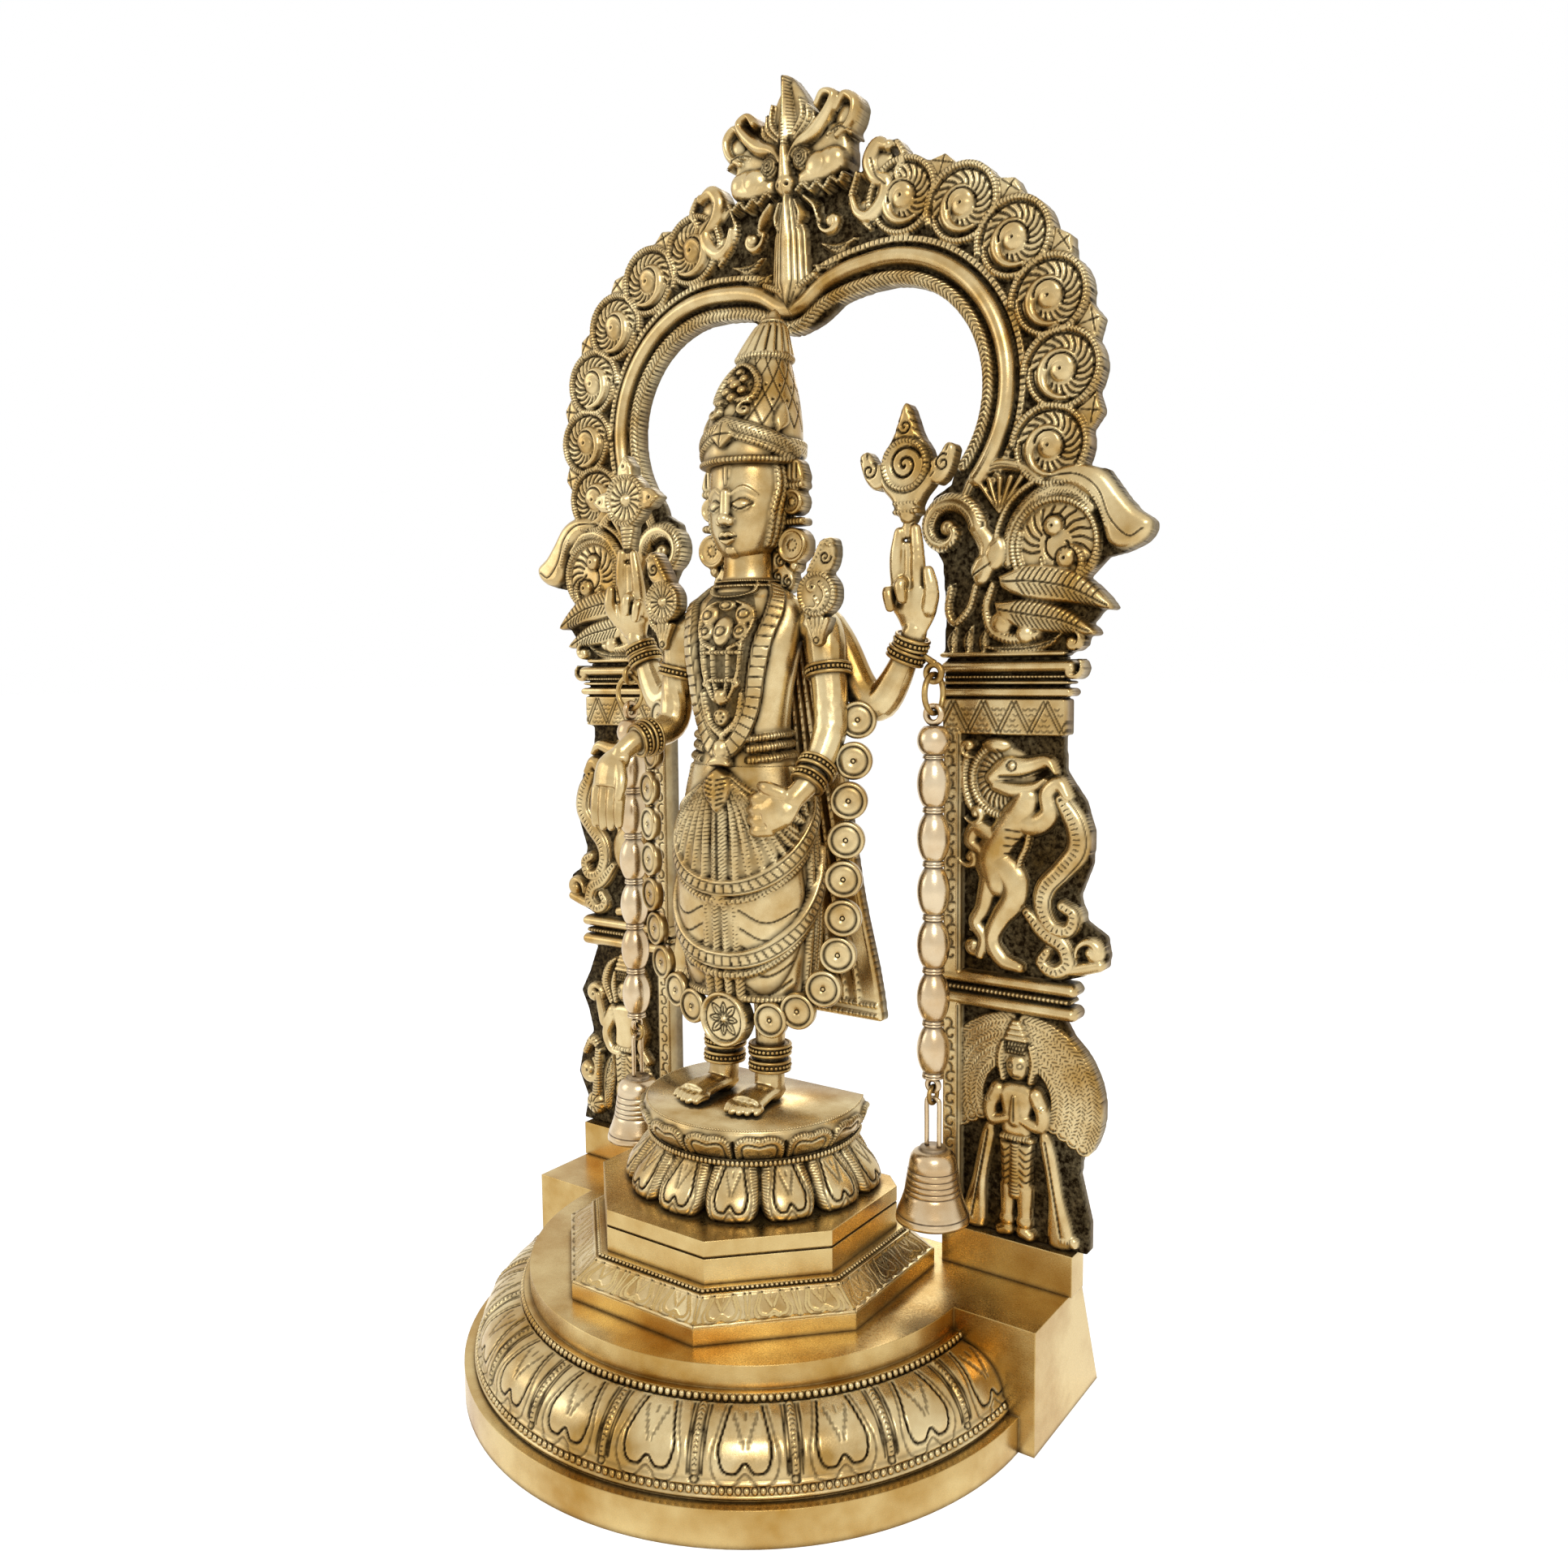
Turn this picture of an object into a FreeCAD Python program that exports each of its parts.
import FreeCAD, Part
import Sketcher
import math
import os

# A standing four-armed temple figure in cast brass, under a scrolled arch,
# with a bell chain hanging from each raised wrist.
# +Z is up, the figure faces -Y and +X is to the right of someone facing it.
# The origin is at the middle of the underside. "left" is -X and "right" is +X.

# ---------------------------------------------------------------- sizes, mm
SIZES = [
    ("gap", 0.3, "running gap between pieces of different bodies"),
    ("fit_gap", 0.05, "gap round a screw thread or a rivet"),
    ("round_y", 40.0, "centre of the round plinth, from the origin"),
    # plinth
    ("rim_radius", 160.0, "plinth rim"),
    ("rim_height", 18.0, "plinth rim"),
    ("low_bead_inset", 6.0, "bead row under the petals, in from the rim"),
    ("low_bead_height", 6.6, "bead row under the petals"),
    ("petal_foot_radius", 150.0, "foot of the petal band"),
    ("petal_top_radius", 128.0, "top of the petal band"),
    ("petal_height", 23.4, "petal band"),
    ("top_bead_height", 4.0, "bead row above the petals"),
    ("step_radius", 124.5, "round step under the deck"),
    ("step_height", 11.3, "round step under the deck"),
    ("wing_half_width", 168.2, "wing blocks, from the middle"),
    ("wing_front", 2.7, "wing block face, in front of the round centre"),
    ("deck_back", 56.0, "back edge of the deck, behind the round centre"),
    ("foot_back", 80.0, "back edge of the underside, behind the round centre"),
    ("plinth_wall", 4.5, "wall of the hollow plinth casting"),
    # eight-sided pedestal, cut flat behind
    ("octagon_forward", 9.0, "centre of the eight-sided tiers, in front of the round centre"),
    ("tier_back", 33.0, "flat back of the eight-sided tiers, behind the round centre"),
    ("lotus_back", 28.0, "flat back of the lotus, behind the round centre"),
    ("tier_radius", 103.5, "lower eight-sided tier, over its corners"),
    ("tier_rim_height", 8.6, "plain edge of the lower tier"),
    ("tier_slope_height", 10.0, "engraved slope of the lower tier"),
    ("tier_top_radius", 89.0, "top of the engraved slope"),
    ("tier_bead_height", 1.8, "bead row on the lower tier"),
    ("block_radius", 83.4, "upper eight-sided block"),
    ("block_height", 21.8, "upper eight-sided block"),
    ("block_groove_drop", 9.0, "groove below the top of the block"),
    ("block_groove_height", 1.2, "groove of the block"),
    ("block_groove_depth", 1.5, "groove of the block"),
    # lotus
    ("lotus_lower_radius", 70.5, "tips of the hanging petals"),
    ("lotus_waist_radius", 54.0, "waist between the petal rows"),
    ("lotus_lower_height", 24.5, "hanging petal row"),
    ("lotus_bead_radius", 58.0, "bead ring at the waist"),
    ("lotus_bead_height", 3.6, "bead ring at the waist"),
    ("lotus_upper_radius", 62.0, "rising petal row"),
    ("lotus_top_radius", 59.8, "flat top of the lotus"),
    ("lotus_upper_height", 16.4, "rising petal row"),
    # figure
    ("stance", 15.0, "each leg, from the middle"),
    ("ankle_radius", 9.0, "legs"),
    ("ankle_y", -6.0, "legs, from the round centre"),
    ("foot_length", 44.0, "feet"),
    ("foot_width", 17.0, "feet"),
    ("foot_height", 9.0, "feet"),
    ("hem_height", 58.0, "hem of the dress above the lotus top"),
    ("waist_height", 195.0, "waist above the lotus top"),
    ("collar_height", 278.0, "foot of the neck above the lotus top"),
    ("crown_foot", 338.0, "foot of the crown above the lotus top"),
    ("crown_height", 87.0, "crown"),
    ("crown_radius", 27.0, "crown at its band"),
    ("crown_lean", 22.0, "how far back the crown's tip leans"),
    ("skirt_half_width", 43.0, "dress at its widest"),
    ("skirt_half_depth", 24.0, "dress at its widest"),
    ("chest_half_width", 37.0, "chest"),
    ("chest_half_depth", 19.0, "chest"),
    ("waist_half_width", 28.0, "waist"),
    ("waist_half_depth", 18.0, "waist"),
    ("neck_radius", 12.5, "neck"),
    ("head_half_width", 22.5, "head"),
    ("head_half_depth", 23.0, "head"),
    ("head_half_height", 31.0, "head"),
    ("arm_radius", 9.0, "arms at the elbow"),
    ("wrist_radius", 6.5, "arms at the wrist"),
    ("hand_radius", 8.0, "palms"),
    ("finger_radius", 3.6, "fingertips"),
    ("emblem_radius", 15.0, "disc and shell held in the raised hands"),
    ("emblem_depth", 8.0, "disc and shell held in the raised hands"),
    ("emblem_height", 330.0, "centre of the held disc and shell above the lotus top"),
    ("shoulder_disc_radius", 11.5, "discs on the shoulders"),
    ("shoulder_disc_depth", 6.0, "discs on the shoulders"),
    ("ear_disc_radius", 9.5, "ear ornaments"),
    ("ear_length", 52.0, "ear ornaments"),
    ("ear_depth", 7.0, "ear ornaments"),
    ("cloak_top_half_width", 36.0, "cloak behind the figure, at its top"),
    ("cloak_foot_half_width", 74.0, "cloak behind the figure, at its foot"),
    ("cloak_height", 205.0, "cloak"),
    ("cloak_foot", 46.0, "foot of the cloak above the lotus top"),
    ("cloak_depth", 9.0, "cloak"),
    ("cloak_y", 12.0, "front of the cloak, from the round centre"),
    ("garland_disc_radius", 9.6, "discs of the garland"),
    ("garland_depth", 5.0, "discs of the garland"),
    ("garland_strap", 3.4, "strap behind the discs"),
    ("medallion_radius", 15.5, "medallion of the garland"),
    ("medallion_depth", 6.0, "medallion of the garland"),
    # arch and columns
    ("slab_front", 38.7, "front of the arch and columns, behind the round centre"),
    ("slab_depth", 13.3, "depth of the arch and columns"),
    ("relief_depth", 6.3, "how far the reliefs stand on the back plate"),
    ("footing_inner", 96.0, "footing blocks, from the middle"),
    ("footing_outer", 169.6, "footing blocks, from the middle"),
    ("footing_height", 21.3, "footing blocks"),
    ("column_inner", 95.0, "columns, from the middle"),
    ("column_outer", 160.0, "columns, from the middle"),
    ("column_height", 302.0, "columns above the footings"),
    ("band_height", 19.4, "polished bands of a column"),
    ("low_band_drop", 120.0, "lower band above the footing"),
    ("necking_drop", 39.0, "necking below the column's top"),
    ("capital_height", 20.0, "capital of a column"),
    ("capital_overhang", 4.0, "bands and capital past the column"),
    ("border_width", 10.0, "plain strip up the inner edge of a column"),
    ("arch_centre_x", 56.0, "centre of each half of the arch, from the middle"),
    ("arch_centre_rise", 136.6, "centre of the arch above the capitals"),
    ("opening_radius", 58.5, "opening of the arch"),
    ("rope_width", 7.5, "ribbed edge of the opening"),
    ("tube_mid_radius", 73.0, "polished tube of the arch"),
    ("tube_radius", 4.6, "polished tube of the arch"),
    ("bead_ring_radius", 82.5, "bead row outside the tube"),
    ("scroll_mid_radius", 101.4, "middle of the scrolls"),
    ("scroll_radius", 20.4, "each scroll"),
    ("scroll_first", -19.7, "lowest scroll, degrees above level"),
    ("scroll_step", 20.4, "from scroll to scroll, degrees"),
    ("cusp_half_width", 16.0, "flat tip of the cusp in the opening"),
    ("cusp_rise", 43.0, "tip of the cusp above the arch centres"),
    ("makara_inner", 92.0, "beast above a capital, from the middle"),
    ("makara_reach", 203.0, "tail of the beast above a capital, from the middle"),
    ("makara_height", 92.0, "beast above a capital"),
    ("mask_half_width", 38.0, "mask at the top of the arch"),
    ("mask_foot_rise", 112.0, "chin of the mask above the arch centres"),
    ("mask_height", 32.0, "mask"),
    ("mask_proud", 6.0, "how far the mask stands in front of the arch"),
    ("finial_height", 36.0, "finial above the mask"),
    ("tongue_length", 58.0, "tongue that hangs from the mask"),
    ("tongue_half_width", 13.0, "tongue at its foot"),
    # reliefs
    ("attendant_inner", 109.0, "attendant in a niche, from the middle"),
    ("attendant_width", 66.0, "attendant in a niche"),
    ("attendant_height", 114.0, "attendant in a niche"),
    ("beast_inner", 109.0, "rearing beast, from the middle"),
    ("beast_width", 72.0, "rearing beast"),
    ("beast_height", 118.0, "rearing beast"),
    # bell chains
    ("chain_x", 102.0, "bell chains, from the middle"),
    ("chain_y", 17.0, "bell chains, behind the round centre"),
    ("wrist_eye_height", 229.5, "eye under the wrist above the lotus top"),
    ("eye_mid_radius", 4.2, "eyes of the wrist and of the rod's top"),
    ("eye_wire", 1.7, "eyes of the wrist and of the rod's top, half their thickness"),
    ("ring_mid_radius", 9.7, "top ring"),
    ("ring_wire", 1.5, "top ring, half its thickness"),
    ("rod_radius", 8.5, "bulbs of the turned rod"),
    ("rod_neck", 4.4, "necks of the turned rod"),
    ("rod_collar", 5.8, "beaded collars of the turned rod"),
    ("first_bulb_height", 17.0, "top bulb of the turned rod"),
    ("bulb_height", 27.5, "each other bulb with its collar"),
    ("small_eye_mid_radius", 3.2, "eye at the rod's foot"),
    ("small_wire", 1.2, "foot eye and lower link, half their thickness"),
    ("link_mid_radius", 4.4, "lower link"),
    ("loop_height", 27.0, "loop on the bell"),
    ("loop_width", 9.6, "loop on the bell"),
    ("loop_bar", 2.4, "bar of the bell's loop"),
    ("bell_radius", 19.3, "bell at its mouth"),
    ("bell_height", 38.5, "bell"),
    ("bell_wall", 2.0, "bell"),
    ("staple_drop", 8.0, "clapper's bar below the bell's top"),
    ("staple_radius", 1.1, "clapper's bar"),
    ("clapper_eye_mid", 2.7, "eye of the clapper"),
    ("clapper_wire", 0.9, "eye of the clapper, half its thickness"),
    ("clapper_stem", 1.3, "stem of the clapper, half its thickness"),
    ("clapper_ball", 4.6, "ball of the clapper"),
    ("clapper_length", 33.0, "ball below the clapper's bar"),
    # fasteners
    ("bolt_radius", 3.0, "bolts that hold the footings"),
    ("bolt_grip", 14.0, "bolt inside a footing"),
    ("bolt_head_radius", 5.5, "hexagon heads"),
    ("bolt_head_height", 4.0, "hexagon heads"),
    ("bolt_spacing", 44.0, "bolts of one footing"),
    ("pedestal_bolt_radius", 4.0, "bolt that holds the pedestal"),
    ("pedestal_bolt_grip", 12.0, "bolt inside the pedestal"),
]

SCROLLS_PER_SIDE = 6
BULBS_PER_ROD = 6
HALF_TURN_OF_EIGHT = 22.5
SIDES = (("left", -1), ("right", 1))


class Size:
    """A length with the sheet expression that it comes from."""

    def __init__(self, value, text):
        self.value = value
        self.text = text

    def __add__(self, other):
        other = as_size(other)
        return Size(self.value + other.value, f"({self.text} + {other.text})")

    def __sub__(self, other):
        other = as_size(other)
        return Size(self.value - other.value, f"({self.text} - {other.text})")

    def __rsub__(self, other):
        return as_size(other) - self

    def __mul__(self, other):
        other = as_size(other)
        return Size(self.value * other.value, f"({self.text} * {other.text})")

    def __truediv__(self, other):
        other = as_size(other)
        return Size(self.value / other.value, f"({self.text} / {other.text})")

    def __neg__(self):
        return self * -1

    __radd__ = __add__
    __rmul__ = __mul__


def as_size(thing):
    if isinstance(thing, Size):
        return thing
    return Size(float(thing), f"({float(thing):.6f})")


class Named:
    """The cells of the sheet, read by their alias."""

    def __init__(self, rows):
        for alias, value, _ in rows:
            setattr(self, alias, Size(value, f"Sizes.{alias}"))


def make_sheet(doc):
    sheet = doc.addObject("Spreadsheet::Sheet", "Sizes")
    for row, (alias, value, meaning) in enumerate(SIZES, start=1):
        sheet.set(f"A{row}", meaning)
        sheet.set(f"B{row}", str(value))
        sheet.setAlias(f"B{row}", alias)
    doc.recompute()


doc = FreeCAD.newDocument("temple_figure")
make_sheet(doc)
q = Named(SIZES)
nodes = []


# ------------------------------------------------------------- small tools
def bind(thing, **sizes):
    for name, size in sizes.items():
        thing.setExpression(name, as_size(size).text)


def place(thing, x=0, y=0, z=0, axis=(0, 0, 1), angle=0.0):
    """Put a piece at x, y, z, turned about an axis by an angle in degrees."""
    spot = [as_size(v) for v in (x, y, z)]
    where = FreeCAD.Vector(*[v.value for v in spot])
    thing.Placement = FreeCAD.Placement(where, FreeCAD.Rotation(FreeCAD.Vector(*axis), angle))
    for letter, size in zip("xyz", spot):
        thing.setExpression(f"Placement.Base.{letter}", size.text)
    return thing


def box(name, width, depth, height, x, y, z):
    thing = doc.addObject("Part::Box", name)
    bind(thing, Length=width, Width=depth, Height=height)
    return place(thing, x, y, z)


def disc(name, radius, depth, x, y, z):
    """A round slab that faces -Y, with its front at y."""
    thing = doc.addObject("Part::Cylinder", name)
    bind(thing, Radius=radius, Height=depth)
    return place(thing, x, y, z, axis=(1, 0, 0), angle=-90)


def post(name, radius, height, x, y, z):
    thing = doc.addObject("Part::Cylinder", name)
    bind(thing, Radius=radius, Height=height)
    return place(thing, x, y, z)


def hexagon(name, radius, height, x, y, z):
    thing = doc.addObject("Part::Prism", name)
    thing.Polygon = 6
    bind(thing, Circumradius=radius, Height=height)
    return place(thing, x, y, z)


def octagon(name, radius, height, z):
    thing = doc.addObject("Part::Prism", name)
    thing.Polygon = 8
    bind(thing, Circumradius=radius, Height=height)
    return place(thing, 0, q.round_y - q.octagon_forward, z, angle=HALF_TURN_OF_EIGHT)


def trimmed_behind(name, base, back, foot, height):
    """A pedestal piece cut flat at back, behind the round centre."""
    reach = q.tier_radius * 2
    off = box(f"{name}_back_cut", reach * 2, reach, height + 2, -reach, q.round_y + back, foot - 1)
    return cut(f"{name}_trimmed", base, off)


def ring(name, mid_radius, wire, x, y, z, faces):
    """A round ring; faces is "front" for one that lies in X and Z, else "side"."""
    thing = doc.addObject("Part::Torus", name)
    bind(thing, Radius1=mid_radius, Radius2=wire)
    if faces == "front":
        return place(thing, x, y, z, axis=(1, 0, 0), angle=90)
    return place(thing, x, y, z, axis=(1, 1, 1), angle=120)


def fuse(name, parts):
    thing = doc.addObject("Part::MultiFuse", name)
    thing.Shapes = parts
    return thing


def cut(name, base, *tools):
    """The base less each tool in turn."""
    for number, tool in enumerate(tools):
        step = doc.addObject("Part::Cut", name if tool is tools[-1] else f"{name}_cut{number}")
        step.Base = base
        step.Tool = tool
        base = step
    return base


def node(thing, label):
    """Mark a finished sub-part, which gets a file of its own."""
    thing.Label = label
    nodes.append(thing)
    return thing


def body_plane(body, role):
    return [feature for feature in body.Origin.OriginFeatures if feature.Role == role][0]


def polygon_sketch(body, name, role, points):
    """A closed outline whose corners are bound to the sheet."""
    sketch = body.newObject("Sketcher::SketchObject", name)
    sketch.AttachmentSupport = (body_plane(body, role), [""])
    sketch.MapMode = "FlatFace"
    corners = [(as_size(u), as_size(v)) for u, v in points]
    flat = [FreeCAD.Vector(u.value, v.value, 0) for u, v in corners]
    count = len(flat)
    for number in range(count):
        sketch.addGeometry(Part.LineSegment(flat[number], flat[(number + 1) % count]), False)
    for number in range(count):
        sketch.addConstraint(Sketcher.Constraint("Coincident", number, 2, (number + 1) % count, 1))
    for number, (u, v) in enumerate(corners):
        across = sketch.addConstraint(Sketcher.Constraint("DistanceX", -1, 1, number, 1, u.value))
        sketch.setExpression(f"Constraints[{across}]", u.text)
        along = sketch.addConstraint(Sketcher.Constraint("DistanceY", -1, 1, number, 1, v.value))
        sketch.setExpression(f"Constraints[{along}]", v.text)
    return sketch


def turned(name, points, x, y, z, angle=360.0, turn=0.0):
    """A piece turned about an upright axis, from an outline of (radius, height)."""
    body = doc.addObject("PartDesign::Body", name)
    sketch = polygon_sketch(body, f"{name}_profile", "XZ_Plane", points)
    lathe = body.newObject("PartDesign::Revolution", f"{name}_turn")
    lathe.Profile = sketch
    lathe.ReferenceAxis = (sketch, ["V_Axis"])
    lathe.Angle = angle
    return place(body, x, y, z, angle=turn)


def slab(name, points, depth, y, x=0, z=0, turn=0.0):
    """A flat piece that faces -Y with its front at y, from an outline of (x, z)."""
    body = doc.addObject("PartDesign::Body", name)
    sketch = polygon_sketch(body, f"{name}_outline", "XZ_Plane", points)
    pad = body.newObject("PartDesign::Pad", f"{name}_pad")
    pad.Profile = sketch
    pad.Reversed = True
    bind(pad, Length=depth)
    return place(body, x, y, z, angle=turn)


def loft(name, sections):
    """A smooth body through level ellipses given as (z, half width, half depth, y)."""
    rings = []
    for number, (z, across, deep, y) in enumerate(sections):
        across = as_size(across)
        deep = as_size(deep)
        wide = across.value >= deep.value
        oval = doc.addObject("Part::Ellipse", f"{name}_ring{number}")
        bind(oval, MajorRadius=across if wide else deep, MinorRadius=deep if wide else across)
        place(oval, 0, y, z, angle=0 if wide else 90)
        rings.append(oval)
    thing = doc.addObject("Part::Loft", name)
    thing.Sections = rings
    thing.Solid = True
    thing.Ruled = False
    return thing


def limb(name, knots):
    """A limb of round sections through (x, y, z, radius), rounded at each knot."""
    values = [[as_size(v).value for v in knot] for knot in knots]
    shape = None
    for start, end in zip(values, values[1:]):
        first = FreeCAD.Vector(*start[:3])
        along = FreeCAD.Vector(*end[:3]) - first
        if abs(start[3] - end[3]) < 0.01:
            piece = Part.makeCylinder(start[3], along.Length, first, along)
        else:
            piece = Part.makeCone(start[3], end[3], along.Length, first, along)
        piece = piece.fuse(Part.makeSphere(end[3], FreeCAD.Vector(*end[:3])))
        shape = piece if shape is None else shape.fuse(piece)
    shape = shape.fuse(Part.makeSphere(values[0][3], FreeCAD.Vector(*values[0][:3])))
    thing = doc.addObject("Part::Feature", name)
    thing.Shape = shape
    thing.Placement = FreeCAD.Placement()
    return thing


# --------------------------------------------------------- heights in order
deck_z = q.rim_height + q.low_bead_height + q.petal_height + q.top_bead_height + q.step_height
tier_z = deck_z + q.tier_rim_height
block_z = tier_z + q.tier_slope_height + q.tier_bead_height
lotus_z = block_z + q.block_height
lotus_mid_z = lotus_z + q.lotus_lower_height
stand_z = lotus_mid_z + q.lotus_bead_height + q.lotus_upper_height
column_z = deck_z + q.footing_height
capital_z = column_z + q.column_height
arch_z = capital_z + q.arch_centre_rise
slab_y = q.round_y + q.slab_front
plate_y = slab_y + q.relief_depth
plate_depth = q.slab_depth - q.relief_depth


# ------------------------------------------------------------------ plinth
def bolt_spots():
    """Where the footing bolts stand, as (x, y)."""
    middle = (q.footing_inner + q.footing_outer) / 2
    y = slab_y + q.slab_depth / 2
    return [((middle + q.bolt_spacing * share) * sign, y) for _, sign in SIDES for share in (-0.5, 0.5)]


def make_plinth():
    bead_z = q.rim_height + q.low_bead_height
    petal_top = bead_z + q.petal_height
    step_z = petal_top + q.top_bead_height
    bulge_radius = q.petal_foot_radius - (q.petal_foot_radius - q.petal_top_radius) * 0.25
    moulded = turned("plinth_front", [
        (0, 0),
        (q.rim_radius, 0),
        (q.rim_radius, q.rim_height),
        (q.rim_radius - q.low_bead_inset, q.rim_height),
        (q.petal_foot_radius, bead_z),
        (bulge_radius, bead_z + q.petal_height * 0.6),
        (q.petal_top_radius, petal_top),
        (q.petal_top_radius, step_z),
        (q.step_radius, step_z),
        (q.step_radius, deck_z),
        (0, deck_z),
    ], 0, q.round_y, 0, angle=180, turn=180)
    wings = wing_prism("plinth_wings", 0)
    wall = q.plinth_wall
    hollow_front = turned("plinth_front_hollow", [
        (0, 0),
        (q.rim_radius - wall, 0),
        (q.rim_radius - wall, q.rim_height - wall),
        (q.petal_foot_radius - wall * 1.5, q.rim_height - wall),
        (q.petal_top_radius - wall * 1.5, petal_top - wall),
        (q.step_radius - wall, petal_top),
        (q.step_radius - wall, deck_z - wall),
        (0, deck_z - wall),
    ], 0, q.round_y, 0, angle=180, turn=180)
    hollow_wings = wing_prism("plinth_wings_hollow", wall)
    solid = fuse("plinth_solid", [moulded, wings])
    inside_half = q.step_radius - wall
    joining = box("plinth_hollow_joining", inside_half * 2, wall * 2, deck_z - wall, -inside_half,
                  q.round_y - wall, 0)
    hollow = fuse("plinth_hollow", [hollow_front, hollow_wings, joining])
    holes = [
        post(f"footing_bolt_hole{number}", q.bolt_radius + q.gap, q.plinth_wall * 3, x, y,
             deck_z - q.plinth_wall * 2)
        for number, (x, y) in enumerate(bolt_spots())
    ]
    holes.append(post("pedestal_bolt_hole", q.pedestal_bolt_radius + q.gap, q.plinth_wall * 3,
                      0, q.round_y, deck_z - q.plinth_wall * 2))
    node(cut("plinth_casting", solid, hollow, fuse("plinth_holes", holes)), "base_plinth")


def wing_prism(name, wall):
    """The straight back of the plinth, from wing to wing, its walls taken in by wall."""
    body = doc.addObject("PartDesign::Body", name)
    wall = as_size(wall)
    front = wall - q.wing_front
    slope = (q.foot_back - q.deck_back) / deck_z
    profile = [
        (front, 0),
        (q.foot_back - wall, 0),
        (q.deck_back - wall + slope * wall, deck_z - wall),
        (front, deck_z - wall),
    ]
    sketch = polygon_sketch(body, f"{name}_profile", "YZ_Plane", profile)
    pad = body.newObject("PartDesign::Pad", f"{name}_pad")
    pad.Profile = sketch
    pad.Midplane = True
    bind(pad, Length=(q.wing_half_width - wall) * 2)
    return place(body, 0, q.round_y, 0)


# --------------------------------------------------- pedestal of the figure
def make_pedestal():
    rim = octagon("tier_rim", q.tier_radius, q.tier_rim_height, deck_z)
    low = octagon_outline("tier_slope_foot", q.tier_radius, tier_z)
    high = octagon_outline("tier_slope_top", q.tier_top_radius, tier_z + q.tier_slope_height)
    slope = doc.addObject("Part::Loft", "tier_slope")
    slope.Sections = [low, high]
    slope.Solid = True
    slope.Ruled = True
    beads = octagon("tier_beads", q.tier_top_radius - q.tier_bead_height, q.tier_bead_height,
                    tier_z + q.tier_slope_height)
    bore = post("tier_bore", q.pedestal_bolt_radius + q.fit_gap, q.pedestal_bolt_grip + q.gap,
                0, q.round_y, deck_z)
    tier = cut("tier_bored", fuse("tier_solid", [rim, slope, beads]), bore)
    node(trimmed_behind("tier", tier, q.tier_back, deck_z, block_z - deck_z), "octagon_lower_tier")

    groove_z = lotus_z - q.block_groove_drop
    lower = octagon("block_lower", q.block_radius, groove_z - block_z, block_z)
    groove = octagon("block_groove", q.block_radius - q.block_groove_depth, q.block_groove_height,
                     groove_z)
    upper_z = groove_z + q.block_groove_height
    upper = octagon("block_upper", q.block_radius, lotus_z - upper_z, upper_z)
    block = fuse("block_solid", [lower, groove, upper])
    node(trimmed_behind("block", block, q.tier_back, block_z, q.block_height), "octagon_upper_block")

    tip = q.lotus_lower_radius
    waist = q.lotus_waist_radius
    height = q.lotus_lower_height
    lower = turned("lotus_lower", [
        (0, 0),
        (tip - 4, 0),
        (tip, height * 0.1),
        (tip - 1.5, height * 0.35),
        (waist + 8, height * 0.7),
        (waist, height * 0.92),
        (waist, height),
        (0, height),
    ], 0, q.round_y, lotus_z)
    node(trimmed_behind("lotus_lower", lower, q.lotus_back, lotus_z, height), "lotus_lower_petals")
    bead = q.lotus_bead_height
    top = bead + q.lotus_upper_height
    upper = turned("lotus_upper", [
        (0, 0),
        (q.lotus_bead_radius, 0),
        (q.lotus_bead_radius, bead),
        (waist, bead),
        (q.lotus_upper_radius - 3, bead + q.lotus_upper_height * 0.35),
        (q.lotus_upper_radius, bead + q.lotus_upper_height * 0.7),
        (q.lotus_top_radius, top - 1.5),
        (q.lotus_top_radius, top),
        (0, top),
    ], 0, q.round_y, lotus_mid_z)
    node(trimmed_behind("lotus_upper", upper, q.lotus_back, lotus_mid_z, top), "lotus_upper_petals")


def octagon_outline(name, radius, z):
    thing = doc.addObject("Part::RegularPolygon", name)
    thing.Polygon = 8
    bind(thing, Circumradius=radius)
    return place(thing, 0, q.round_y - q.octagon_forward, z, angle=HALF_TURN_OF_EIGHT)


# ------------------------------------------------------------------ figure
def above(height):
    """A height above the lotus top."""
    return stand_z + height


def make_legs():
    for side, sign in SIDES:
        x = q.stance * sign
        y = q.round_y + q.ankle_y
        shin = post(f"{side}_shin", q.ankle_radius, q.hem_height, x, y, stand_z)
        toes = q.foot_width / 2
        sole = box(f"{side}_sole", q.foot_width, q.foot_length - toes * 2, q.foot_height,
                   x - toes, y - q.foot_length + toes * 2.2, stand_z)
        toe_end = post(f"{side}_toes", toes, q.foot_height, x, y - q.foot_length + toes * 2.2, stand_z)
        heel = post(f"{side}_heel", toes, q.foot_height, x, y + toes * 0.2, stand_z)
        node(fuse(f"{side}_leg_solid", [shin, sole, toe_end, heel]), f"{side}_leg")


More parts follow.
